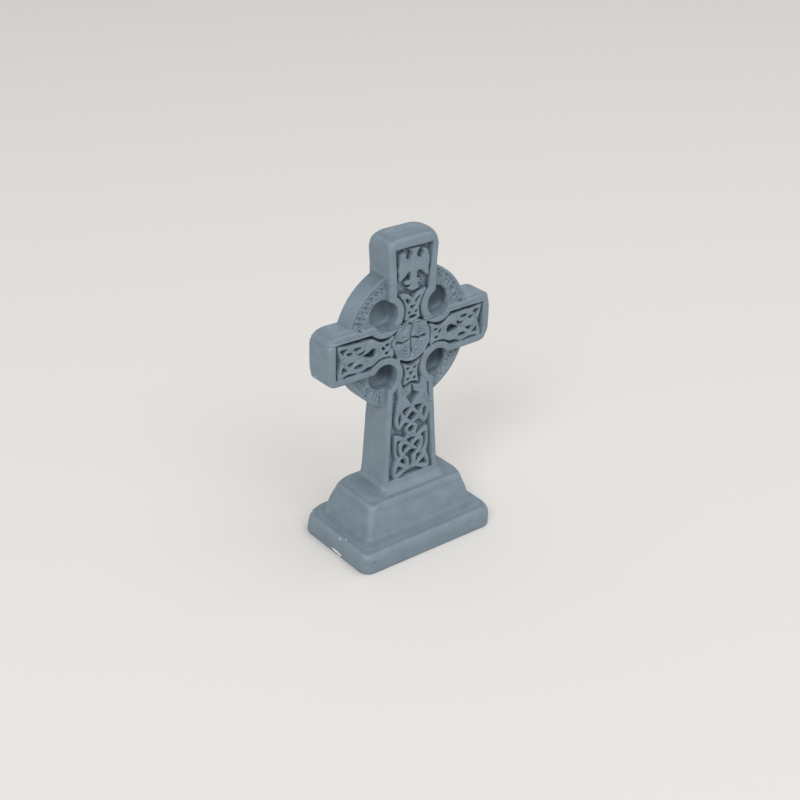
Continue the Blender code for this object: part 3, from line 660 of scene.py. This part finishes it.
def rounded_rectangle(x, y, half_x, half_y, radius):
    """Distance to a rectangle with rounded corners."""
    radius = np.minimum(radius, np.maximum(np.minimum(half_x, half_y), 0.05))
    qx, qy = np.abs(x) - (half_x - radius), np.abs(y) - (half_y - radius)
    return np.hypot(np.maximum(qx, 0), np.maximum(qy, 0)) + np.minimum(np.maximum(qx, qy), 0) - radius


def column(x, y, carved, z, profile):
    """The plinth, shaft and head at one height; the plinth is uneven and worn at its back left."""
    heights, half_x, half_y, corner = profile
    higher = RIGHT_RISE * smooth((x - 4.0) / 9.0)
    level = z - higher * float(np.interp(z, (0.5, 3.0, 12.0, 14.0), (0.0, 1.0, 1.0, 0.0)))
    a, b, c = (np.interp(level, heights, row) for row in (half_x, half_y, corner))
    rounder = float(np.interp(z, (0.0, 4.4, 5.3, 11.6, 12.1), (0.5, 1.2, 0.6, 0.6, 0.0)))
    worn = 1.0 + rounder * smooth((y - 1.0) / 4.0) * (x < 0)
    lean = FOOT_LEAN * float(np.interp(z, (TIER_TOP, SHAFT_FOOT, SHAFT_NARROWEST), (0.0, 1.0, 0.0)))
    return rounded_rectangle(x, carved + lean, a, b, c * worn)


def ring_and_web(x, y, carved, up):
    """The ring with its eased rim, and the thin web that closes the pockets."""
    r = np.hypot(x, up - RING_LIFT)
    ring = np.maximum(np.abs(r - (RING_OUTER + RING_INNER) / 2) - (RING_OUTER - RING_INNER) / 2,
                      np.abs(carved) - RING_Y)
    edge = np.maximum(r - RING_OUTER, np.abs(carved) - RING_Y)
    ring = soft_max(ring, edge, 0.35)
    web = np.maximum(r - RING_INNER - 1.0, np.abs(y) - WEB_Y)
    return soft_min(ring, web, 0.3)


def arms(x, y, carved, up):
    """Both arms, bulging a little at their ends and rounder at some corners."""
    rise = 0.05 + 0.15 * smooth((x - 9.0) / 8.0)
    edge = 0.6 + 0.9 * smooth(y / 1.5) * (up > 0)
    arm = rounded_rectangle(up - rise, carved, ARM_Z, ARM_Y, edge)
    bulge = 0.12 * (1 - (up / ARM_Z) ** 2) - 0.06
    top, foot = float(smooth((up - 2.0) / 3.0)), float(smooth((-up - 2.0) / 3.0))
    left_end = soft_max(arm, -x - ARM_X - bulge, 0.8 + 2.2 * top + 1.0 * foot)
    right_end = soft_max(arm, x - ARM_X - bulge, 0.7 + 1.8 * foot + 1.1 * top)
    return np.where(x < 0, left_end, right_end)


def pocket_bowls(x, y, up):
    """The blind bowls between the limbs, from the front and from the back."""
    away = np.hypot(np.abs(x) - POCKET_OFFSET, abs(up) - POCKET_OFFSET)
    squash = POCKET_RADIUS / POCKET_DEPTH
    inward = np.abs((np.abs(y) - FRONT) * squash)
    power = POCKET_SQUARENESS
    return (away ** power + inward ** power) ** (1 / power) - POCKET_RADIUS


def ball(x, y, z, place, radius, along=1.0):
    """Distance to a ball; along below 1 draws it out in depth."""
    middle_x, middle_y, middle_z = place
    return np.sqrt((x - middle_x) ** 2 + (along * (y - middle_y)) ** 2 + (z - middle_z) ** 2) - radius


def slipped(x, y, z):
    """How far the slipped layers stand out or in, strongest near the boss and only on outer faces."""
    slip = sum(out * math.exp(-((z - height) / 0.09) ** 2) for height, out in SHIFTED_LAYERS)
    outside = np.maximum(smooth((np.abs(y) - 2.3) / 0.4), smooth((np.abs(x) - 17.0) / 0.5))
    return slip * (0.45 + 0.55 * smooth((8.0 - np.abs(x)) / 3.0)) * outside


def surface_field(xs, ys, zs):
    """How far each grid point lies outside the piece, negative inside, and the front's carving."""
    front = front_relief(xs, zs)
    back = back_relief(xs, zs)
    profile = column_profile()
    field = np.empty((len(xs), len(ys), len(zs)), np.float32)
    x, y = xs[:, None], ys[None, :]
    near_front, near_back = smooth((-y - 0.6) / 0.7), smooth((y - 0.6) / 0.7)
    for k, z in enumerate(zs):
        up = z - CENTRE
        carved = y - (front[:, k][:, None] * near_front - back[:, k][:, None] * near_back)
        d = column(x, y, carved, z, profile)
        if abs(up) < RING_OUTER + 0.8:
            d = soft_min(d, ring_and_web(x, y, carved, up), RING_FILLET)
        if abs(up) < ARM_Z + 0.6:
            d = soft_min(d, arms(x, y, carved, up), ARM_FILLET)
        if 2.8 < abs(up) < 9.0:
            d = soft_max(d, -pocket_bowls(x, y, up), POCKET_LIP)
        if z < TIER_BEND:
            d = np.maximum(d, -ball(x, y, z, *CHIP, along=CHIP_SHARE))
            d = soft_min(np.maximum(d, -ball(x, y, z, *PIT)), ball(x, y, z, *NUB), NUB_FILLET)
        field[:, :, k] = np.clip(d + slipped(x, y, z), -FAR, FAR)
    return field, front


def blurred(field, passes):
    """The field with its sharpest edges softened."""
    for _ in range(passes):
        for axis in range(3):
            low = [slice(None)] * 3
            mid = [slice(None)] * 3
            high = [slice(None)] * 3
            low[axis], mid[axis], high[axis] = slice(None, -2), slice(1, -1), slice(2, None)
            soft = field.copy()
            soft[tuple(mid)] *= 0.5
            soft[tuple(mid)] += 0.25 * field[tuple(low)]
            soft[tuple(mid)] += 0.25 * field[tuple(high)]
            field = soft
    return field


def draw_surface(field, xs, ys, zs):
    """Vertices and four-sided faces through the places where the field is zero."""
    inside = field < 0
    count = np.zeros(tuple(n - 1 for n in field.shape), np.uint8)
    for dx in (0, 1):
        for dy in (0, 1):
            for dz in (0, 1):
                count += inside[dx:dx + count.shape[0], dy:dy + count.shape[1], dz:dz + count.shape[2]]
    cells = np.nonzero((count > 0) & (count < 8))
    number = np.full(count.shape, -1, np.int32)
    number[cells] = np.arange(len(cells[0]), dtype=np.int32)
    axes = (xs, ys, zs)
    total = np.zeros((len(cells[0]), 3))
    crossings = np.zeros(len(cells[0]))
    for axis in range(3):
        others = [k for k in range(3) if k != axis]
        for da in (0, 1):
            for db in (0, 1):
                start = list(cells)
                start[others[0]] = start[others[0]] + da
                start[others[1]] = start[others[1]] + db
                end = list(start)
                end[axis] = end[axis] + 1
                fa = field[tuple(start)].astype(float)
                fb = field[tuple(end)].astype(float)
                cut = (fa < 0) != (fb < 0)
                t = np.where(cut, fa / np.where(cut, fa - fb, 1.0), 0.0)
                for k in range(3):
                    place = axes[k][start[k]]
                    if k == axis:
                        place = place + t * (axes[k][end[k]] - place)
                    total[:, k] += np.where(cut, place, 0.0)
                crossings += cut
    points = total / crossings[:, None]
    faces = []
    for axis in range(3):
        others = [k for k in range(3) if k != axis]
        low = [slice(1, -1)] * 3
        high = [slice(1, -1)] * 3
        low[axis], high[axis] = slice(0, -1), slice(1, None)
        a, b = inside[tuple(low)], inside[tuple(high)]
        i = np.nonzero(a != b)
        leaving = a[i]
        base = [i[k] + (0 if k == axis else 1) for k in range(3)]
        corners = []
        for da, db in ((-1, -1), (0, -1), (0, 0), (-1, 0)):
            cell = list(base)
            cell[others[0]] = cell[others[0]] + da
            cell[others[1]] = cell[others[1]] + db
            corners.append(number[tuple(cell)])
        quad = np.stack(corners, 1)
        flip = leaving if axis == 1 else ~leaving
        quad[flip] = quad[flip][:, ::-1]
        faces.append(quad)
    return points, np.concatenate(faces)


def grid_lines():
    """Grid positions across, in depth and up; finer where the carving is."""
    xs = np.arange(-GRID_X, GRID_X + STEP / 2, STEP)
    front = np.arange(-FINE_Y, -CARVED_Y, STEP)
    behind = np.arange(front[-1] + DEPTH_STEP, FINE_Y, DEPTH_STEP)
    outer = np.arange(FINE_Y + COARSE, GRID_Y, COARSE)
    ys = np.concatenate([-outer[::-1], front, behind, outer])
    zs = np.arange(-2.5 * STEP, GRID_TOP, STEP)
    return xs, ys, zs


def wobble(points, normals):
    """Slight unevenness of a small print, along the surface's own direction; none at the ground."""
    x, y, z = points.T
    lump = noise(x, y, z, 4.0, 21) * 0.045 + noise(x, y, z, 1.3, 22) * 0.018
    return points + normals * (lump * smooth(z / 0.8))[:, None]


def spread(values, cells):
    """The running mean over so many cells each way, taken twice."""
    for axis in (0, 1, 0, 1):
        running = np.cumsum(np.insert(values, 0, 0.0, axis=axis), axis=axis)
        count = values.shape[axis]
        low = np.clip(np.arange(count) - cells, 0, count)
        high = np.clip(np.arange(count) + cells + 1, 0, count)
        total = np.take(running, high, axis=axis) - np.take(running, low, axis=axis)
        shape = [1, 1]
        shape[axis] = count
        values = total / (high - low).reshape(shape)
    return values


def gap_painted_shade(x, y, up, depth, narrow):
    """Painted shade down the narrow gaps: how far each point lies down one; fainter on the ring and down
    the shaft.
    """
    share = smooth(narrow / 0.38) * (y < -CARVED_Y) * smooth((depth - 0.08) / 0.3)
    down_the_shaft = smooth((-up - 7.0) / 2.0)
    on_ring = (np.abs(up) > ARM_Z) & (np.abs(x) > NECK_X)
    return share * (1.0 - 0.28 * down_the_shaft) * np.where(on_ring, 0.14, 1.0)


def pocket_painted_shadow(x, y, up):
    """Painted shadow in the pockets: how far each point lies in one, darkest towards the upper right of
    each.
    """
    away = np.hypot(np.abs(x) - POCKET_OFFSET, np.abs(up) - POCKET_OFFSET)
    share = smooth((POCKET_RADIUS + 0.5 - away) / 0.4) * smooth((FRONT - 0.3 - np.abs(y)) / 2.2)
    higher = up - np.sign(up) * POCKET_OFFSET
    further_left = np.abs(x) - POCKET_OFFSET
    darker = 0.8 * higher - np.where(x < 0, 0.6 * further_left, -0.9)
    share = share * (0.25 + 0.75 * smooth((darker + 1.5) / 2.4))
    return share * np.where(up > 0, np.where(x < 0, 0.62, 0.85), 1.0)


def hollow_painted_shade(points, front, xs, zs):
    """Painted shade from 0 to 1: how far each point lies down a narrow gap or in a pocket."""
    x, y, z = points.T
    up = z - CENTRE
    i = np.clip(np.searchsorted(xs, x), 0, len(xs) - 1)
    k = np.clip(np.searchsorted(zs, z), 0, len(zs) - 1)
    narrow = front - spread(front, max(1, int(round(0.32 / STEP))))
    gap = gap_painted_shade(x, y, up, front[i, k], narrow[i, k])
    return np.clip(gap + pocket_painted_shadow(x, y, up), 0, 1)


def build_cross():
    """The whole piece as one mesh in metres."""
    xs, ys, zs = grid_lines()
    field, front = surface_field(xs, ys, zs)
    field = blurred(field, 1)
    ground = zs[None, None, :]
    field = np.maximum(field, -ground.astype(np.float32))
    points, faces = draw_surface(field, xs, ys, zs)
    del field
    mesh = bpy.data.meshes.new("carved_cross")
    mesh.vertices.add(len(points))
    mesh.vertices.foreach_set("co", (points * MM).astype(np.float32).ravel())
    mesh.loops.add(faces.size)
    mesh.loops.foreach_set("vertex_index", faces.astype(np.int32).ravel())
    mesh.polygons.add(len(faces))
    mesh.polygons.foreach_set("loop_start", np.arange(0, faces.size, 4, dtype=np.int32))
    mesh.update(calc_edges=True)
    mesh.validate()
    normals = np.empty(len(points) * 3, np.float32)
    mesh.vertex_normals.foreach_get("vector", normals)
    points = wobble(points, normals.reshape(-1, 3).astype(float))
    points[:, 2] = np.maximum(points[:, 2], 0.0)
    mesh.vertices.foreach_set("co", (points * MM).astype(np.float32).ravel())
    mesh.update()
    dense = bpy.data.objects.new("carved_cross_dense", mesh)
    bpy.context.scene.collection.objects.link(dense)
    thin = dense.modifiers.new("thin_out", "DECIMATE")
    thin.ratio = min(1.0, TRIANGLES / (2 * len(faces)))
    bpy.context.view_layer.update()
    graph = bpy.context.evaluated_depsgraph_get()
    final = bpy.data.meshes.new_from_object(dense.evaluated_get(graph))
    bpy.data.objects.remove(dense)
    final.name = "carved_cross"
    final.shade_smooth()
    places = np.empty(len(final.vertices) * 3, np.float32)
    final.vertices.foreach_get("co", places)
    # Painted shade for the narrow gaps and the pockets, kept on each vertex for the material
    painted_shade = hollow_painted_shade(places.reshape(-1, 3) / MM, front, xs, zs)
    final.attributes.new("painted_shade", "FLOAT", "POINT").data.foreach_set("value", painted_shade.astype(np.float32))
    piece = bpy.data.objects.new("carved_cross", final)
    bpy.context.scene.collection.objects.link(piece)
    return piece


# Materials

def new_group(name, inputs, outputs):
    """An empty shader group with named sockets, and its two end nodes."""
    group = bpy.data.node_groups.new(name, "ShaderNodeTree")
    for label, kind, value in inputs:
        socket = group.interface.new_socket(label, in_out="INPUT", socket_type=kind)
        socket.default_value = value
    for label, kind in outputs:
        group.interface.new_socket(label, in_out="OUTPUT", socket_type=kind)
    return group, group.nodes.new("NodeGroupInput"), group.nodes.new("NodeGroupOutput")


def math_node(tree, operation, a, b=None, c=None):
    """A sum of up to three numbers or sockets, and its result's socket."""
    node = tree.nodes.new("ShaderNodeMath")
    node.operation = operation
    for socket, value in zip(node.inputs, (a, b, c)):
        if value is None:
            continue
        if hasattr(value, "links"):
            tree.links.new(value, socket)
        else:
            socket.default_value = value
    return node.outputs[0]


def ranged(tree, value, low, high, out_low=0.0, out_high=1.0):
    """The value taken smoothly from one range to another."""
    node = tree.nodes.new("ShaderNodeMapRange")
    node.interpolation_type = "SMOOTHSTEP"
    tree.links.new(value, node.inputs["Value"])
    for label, number in (("From Min", low), ("From Max", high), ("To Min", out_low), ("To Max", out_high)):
        node.inputs[label].default_value = number
    return node.outputs["Result"]


def stretched_noise(tree, coordinates, scale, stretch, detail=2.0, roughness=0.5):
    """Noise over the object's own coordinates, with its own scale each way."""
    move = tree.nodes.new("ShaderNodeMapping")
    tree.links.new(coordinates, move.inputs["Vector"])
    move.inputs["Scale"].default_value = stretch
    node = tree.nodes.new("ShaderNodeTexNoise")
    tree.links.new(move.outputs["Vector"], node.inputs["Vector"])
    node.inputs["Scale"].default_value = scale
    node.inputs["Detail"].default_value = detail
    node.inputs["Roughness"].default_value = roughness
    return node.outputs["Fac"]


def layer_group():
    """Height of the print layers: contour steps on near-level tops, faint level bands on sides; and a line
    mask where each step falls, for painted shade.
    """
    group, start, end = new_group(
        "print_layers",
        [("Layer", "NodeSocketFloat", 0.00011), ("Step Height", "NodeSocketFloat", 0.00014),
         ("Band Height", "NodeSocketFloat", 0.000034)],
        [("Height", "NodeSocketFloat"), ("Line", "NodeSocketFloat")])
    place = group.nodes.new("ShaderNodeTexCoord")
    split = group.nodes.new("ShaderNodeSeparateXYZ")
    group.links.new(place.outputs["Object"], split.inputs[0])
    facing = group.nodes.new("ShaderNodeSeparateXYZ")
    group.links.new(place.outputs["Normal"], facing.inputs[0])
    top = ranged(group, facing.outputs["Z"], 0.62, 0.94)
    uneven = stretched_noise(group, place.outputs["Object"], 300.0, (1.0, 1.0, 0.5), 1.0, 0.4)
    height = math_node(group, "MULTIPLY_ADD", uneven, 0.00012, split.outputs["Z"])
    turns = math_node(group, "DIVIDE", height, start.outputs["Layer"])
    share = math_node(group, "FRACT", turns)
    tread = ranged(group, share, 0.72, 1.0)
    fall = math_node(group, "SUBTRACT", tread, share)
    steps = math_node(group, "MULTIPLY", fall, start.outputs["Step Height"])
    steps = math_node(group, "MULTIPLY", steps, top)
    bands = stretched_noise(group, place.outputs["Object"], 1.0, (60.0, 60.0, 2600.0), 3.0, 0.6)
    side = math_node(group, "SUBTRACT", 1.0, top)
    bands = math_node(group, "MULTIPLY", bands, start.outputs["Band Height"])
    bands = math_node(group, "MULTIPLY", bands, side)
    group.links.new(math_node(group, "ADD", steps, bands), end.inputs["Height"])
    # Where each step falls on near-level tops, which the material darkens as painted shade
    fall_in = ranged(group, share, 0.50, 0.80)
    rise_out = ranged(group, share, 0.88, 1.0, 1.0, 0.0)
    line = math_node(group, "MULTIPLY", math_node(group, "MULTIPLY", fall_in, rise_out), top)
    group.links.new(line, end.inputs["Line"])
    return group


def speck_and_glint_mask(tree, place):
    """Where the few white specks lie, and the streak of painted glint by the chip."""
    mask = 0.0
    for spot, size, strength in WHITE_SPECKS_AND_GLINT:
        apart = tree.nodes.new("ShaderNodeVectorMath")
        apart.operation = "DISTANCE"
        tree.links.new(place, apart.inputs[0])
        apart.inputs[1].default_value = [MM * number for number in spot]
        near = ranged(tree, apart.outputs["Value"], 0.6 * size * MM, size * MM, strength, 0.0)
        mask = math_node(tree, "MAXIMUM", near, mask)
    return mask


def resin_material():
    """Blue-grey printing resin: satin, faintly mottled, with the layers of the print; painted shade darkens
    its narrow gaps, pockets and layer steps, and white specks and a painted glint by the chip lie on it.
    """
    material = bpy.data.materials.new("grey_resin")
    material.use_nodes = True
    tree = material.node_tree
    shader = tree.nodes["Principled BSDF"]
    place = tree.nodes.new("ShaderNodeTexCoord").outputs["Object"]
    layers = tree.nodes.new("ShaderNodeGroup")
    layers.node_tree = layer_group()
    mottle = stretched_noise(tree, place, 420.0, (1.0, 1.0, 1.3), 3.0, 0.55)
    ramp = tree.nodes.new("ShaderNodeValToRGB")
    tree.links.new(mottle, ramp.inputs["Fac"])
    ramp.color_ramp.elements[0].position = 0.30
    ramp.color_ramp.elements[0].color = RESIN_DARK
    ramp.color_ramp.elements[1].position = 0.72
    ramp.color_ramp.elements[1].color = RESIN_LIGHT
    # Painted shade: the gaps, the pockets and the layer steps' risers are darkened towards a deep blue-grey
    painted_shade = tree.nodes.new("ShaderNodeAttribute")
    painted_shade.attribute_name = "painted_shade"
    painted_shade_mix = tree.nodes.new("ShaderNodeMix")
    painted_shade_mix.data_type = "RGBA"
    line_shade = math_node(tree, "MULTIPLY", layers.outputs["Line"], LINE_SHADE)
    hollow_shade = math_node(tree, "MULTIPLY", painted_shade.outputs["Fac"], HOLLOW_SHADE)
    shade = math_node(tree, "MAXIMUM", hollow_shade, line_shade)
    tree.links.new(shade, painted_shade_mix.inputs["Factor"])
    tree.links.new(ramp.outputs["Color"], painted_shade_mix.inputs["A"])
    painted_shade_mix.inputs["B"].default_value = RESIN_PAINTED_SHADE
    # White dust specks, and the painted glint by the chip
    speck_and_glint_mix = tree.nodes.new("ShaderNodeMix")
    speck_and_glint_mix.data_type = "RGBA"
    tree.links.new(speck_and_glint_mask(tree, place), speck_and_glint_mix.inputs["Factor"])
    tree.links.new(painted_shade_mix.outputs["Result"], speck_and_glint_mix.inputs["A"])
    speck_and_glint_mix.inputs["B"].default_value = DUST_AND_GLINT
    tree.links.new(speck_and_glint_mix.outputs["Result"], shader.inputs["Base Color"])
    wear = stretched_noise(tree, place, 900.0, (1.0, 1.0, 2.0), 2.0, 0.5)
    tree.links.new(ranged(tree, wear, 0.3, 0.7, 0.46, 0.60), shader.inputs["Roughness"])
    shader.inputs["IOR"].default_value = 1.48
    fine = stretched_noise(tree, place, 2600.0, (1.0, 1.0, 1.0), 3.0, 0.6)
    grain = math_node(tree, "MULTIPLY", fine, 0.000010)
    height = math_node(tree, "ADD", layers.outputs["Height"], grain)
    bump = tree.nodes.new("ShaderNodeBump")
    bump.inputs["Distance"].default_value = 1.0
    bump.inputs["Strength"].default_value = 1.0
    tree.links.new(height, bump.inputs["Height"])
    tree.links.new(bump.outputs["Normal"], shader.inputs["Normal"])
    return material


# Floor, light and camera

def floor():
    """A wide pale sheet."""
    half = 2.5
    mesh = bpy.data.meshes.new("floor")
    corners = [(-half, -half, 0), (half, -half, 0), (half, half, 0), (-half, half, 0)]
    mesh.from_pydata(corners, [], [(0, 1, 2, 3)])
    sheet = bpy.data.objects.new("floor", mesh)
    bpy.context.scene.collection.objects.link(sheet)
    material = bpy.data.materials.new("pale_paper")
    material.use_nodes = True
    shader = material.node_tree.nodes["Principled BSDF"]
    shader.inputs["Base Color"].default_value = PAPER
    shader.inputs["Roughness"].default_value = 0.9
    shader.inputs["Specular IOR Level"].default_value = 0.1
    mesh.materials.append(material)


def area_light(name, azimuth, elevation, distance, size, power, target=(0, 0, 0.03)):
    """A square soft light aimed at the piece; azimuth 0 is in front and positive to the right."""
    turn, rise = math.radians(azimuth), math.radians(elevation)
    way = Vector((math.sin(turn) * math.cos(rise), -math.cos(turn) * math.cos(rise), math.sin(rise)))
    light = bpy.data.lights.new(name, "AREA")
    light.energy = power
    light.size = size
    lamp = bpy.data.objects.new(name, light)
    bpy.context.scene.collection.objects.link(lamp)
    lamp.location = Vector(target) + way * distance
    lamp.rotation_euler = (-way).to_track_quat("-Z", "Y").to_euler()
    return lamp


def lighting():
    """An even pale room with three soft lights."""
    world = bpy.data.worlds.new("soft_room")
    bpy.context.scene.world = world
    world.use_nodes = True
    sky = world.node_tree.nodes["Background"]
    sky.inputs["Color"].default_value = ROOM
    sky.inputs["Strength"].default_value = ROOM_LIGHT
    for light in LIGHTS:
        area_light(*light)
    bpy.context.scene.view_settings.view_transform = "Standard"


def camera():
    """Where the photograph was taken from: above, and to the left of the front."""
    azimuth, rise, roll = (math.radians(turn) for turn in (VIEW_AZIMUTH, VIEW_RISE, VIEW_ROLL))
    back = Vector((math.sin(azimuth) * math.cos(rise), -math.cos(azimuth) * math.cos(rise), math.sin(rise)))
    right = Vector((math.cos(azimuth), math.sin(azimuth), 0))
    up = back.cross(right)
    across = right * math.cos(roll) + up * math.sin(roll)
    upward = up * math.cos(roll) - right * math.sin(roll)
    place = Vector(VIEW_TARGET) + back * VIEW_DISTANCE
    view = bpy.data.objects.new("camera", bpy.data.cameras.new("camera"))
    bpy.context.scene.collection.objects.link(view)
    view.data.sensor_width = 36
    view.data.lens = LENS
    view.data.clip_start = 0.01
    view.matrix_world = Matrix((
        (across.x, upward.x, back.x, place.x), (across.y, upward.y, back.y, place.y),
        (across.z, upward.z, back.z, place.z), (0, 0, 0, 1)))
    bpy.context.scene.camera = view


cross = build_cross()
cross.data.materials.append(resin_material())
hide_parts("celtic_cross")
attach(cross, "root")
floor()
lighting()
camera()
